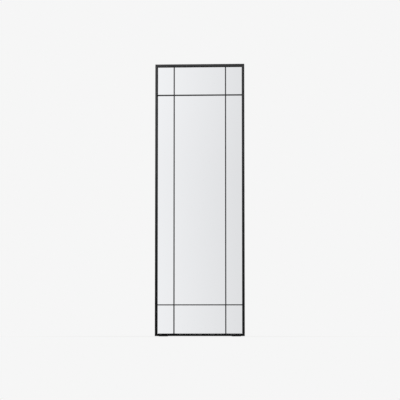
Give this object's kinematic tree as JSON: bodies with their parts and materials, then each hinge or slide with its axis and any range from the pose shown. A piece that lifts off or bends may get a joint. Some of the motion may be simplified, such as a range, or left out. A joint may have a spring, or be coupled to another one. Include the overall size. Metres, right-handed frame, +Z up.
{
  "type": "leaning floor mirror",
  "caption": "Tall floor mirror that leans on a wall: slim black steel frame, glazing bars that part the glass into border panes, and hanger rings behind.",
  "frame": {"origin": "middle of the overall box, at floor level", "axes": "+Z up, -Y out of the mirror's face towards the person in front of it, +X to that person's right"},
  "size_m": [0.59, 0.046, 1.8],
  "materials": {
    "black_powder_coat": "matt black powder coat on steel",
    "silvered_glass": "clear glass, silvered on its back",
    "fibreboard": "raw brown fibreboard",
    "foam_tape": "white foam tape",
    "black_rubber": "matte black rubber",
    "zinc_steel": "bright zinc plate on pressed steel"
  },
  "bodies": {
    "mirror": {"left_stile": "black_powder_coat", "right_stile": "black_powder_coat", "top_rail": "black_powder_coat", "bottom_rail": "black_powder_coat", "left_glazing_bar": "black_powder_coat", "right_glazing_bar": "black_powder_coat", "lower_glazing_bar": "black_powder_coat", "upper_glazing_bar": "black_powder_coat", "mirror_glass": "silvered_glass", "backing_board": "fibreboard", "mirror_tape_left": "foam_tape", "mirror_tape_centre": "foam_tape", "mirror_tape_right": "foam_tape", "setting_block_left": "black_rubber", "setting_block_right": "black_rubber", "board_clip_left_lower": "zinc_steel", "board_clip_left_middle": "zinc_steel", "board_clip_left_upper": "zinc_steel", "board_clip_top_left": "zinc_steel", "board_clip_top_right": "zinc_steel", "board_clip_right_upper": "zinc_steel", "board_clip_right_middle": "zinc_steel", "board_clip_right_lower": "zinc_steel", "board_clip_bottom_right": "zinc_steel", "board_clip_bottom_left": "zinc_steel", "clip_screw_left_lower": "zinc_steel", "clip_screw_left_middle": "zinc_steel", "clip_screw_left_upper": "zinc_steel", "clip_screw_top_left": "zinc_steel", "clip_screw_top_right": "zinc_steel", "clip_screw_right_upper": "zinc_steel", "clip_screw_right_middle": "zinc_steel", "clip_screw_right_lower": "zinc_steel", "clip_screw_bottom_right": "zinc_steel", "clip_screw_bottom_left": "zinc_steel", "strap_hanger_left": "zinc_steel", "strap_hanger_right": "zinc_steel", "hanger_screw_left_lower": "zinc_steel", "hanger_screw_left_upper": "zinc_steel", "hanger_screw_right_lower": "zinc_steel", "hanger_screw_right_upper": "zinc_steel", "wall_bumper_upper_left": "black_rubber", "wall_bumper_upper_right": "black_rubber", "wall_bumper_lower_left": "black_rubber", "wall_bumper_lower_right": "black_rubber", "foot_pad_left": "black_rubber", "foot_pad_right": "black_rubber"},
    "left_ring": {"hanger_ring_left": "zinc_steel"},
    "right_ring": {"hanger_ring_right": "zinc_steel"}
  },
  "joints": [
    {"name": "left_ring_swing", "type": "hinge", "parent": "mirror", "child": "left_ring", "pos_m": [-0.2875, 0.01945, 1.67], "axis": [1, 0, 0], "range_deg": [-4, 165]},
    {"name": "right_ring_swing", "type": "hinge", "parent": "mirror", "child": "right_ring", "pos_m": [0.2875, 0.01945, 1.67], "axis": [1, 0, 0], "range_deg": [-4, 165]}
  ]
}
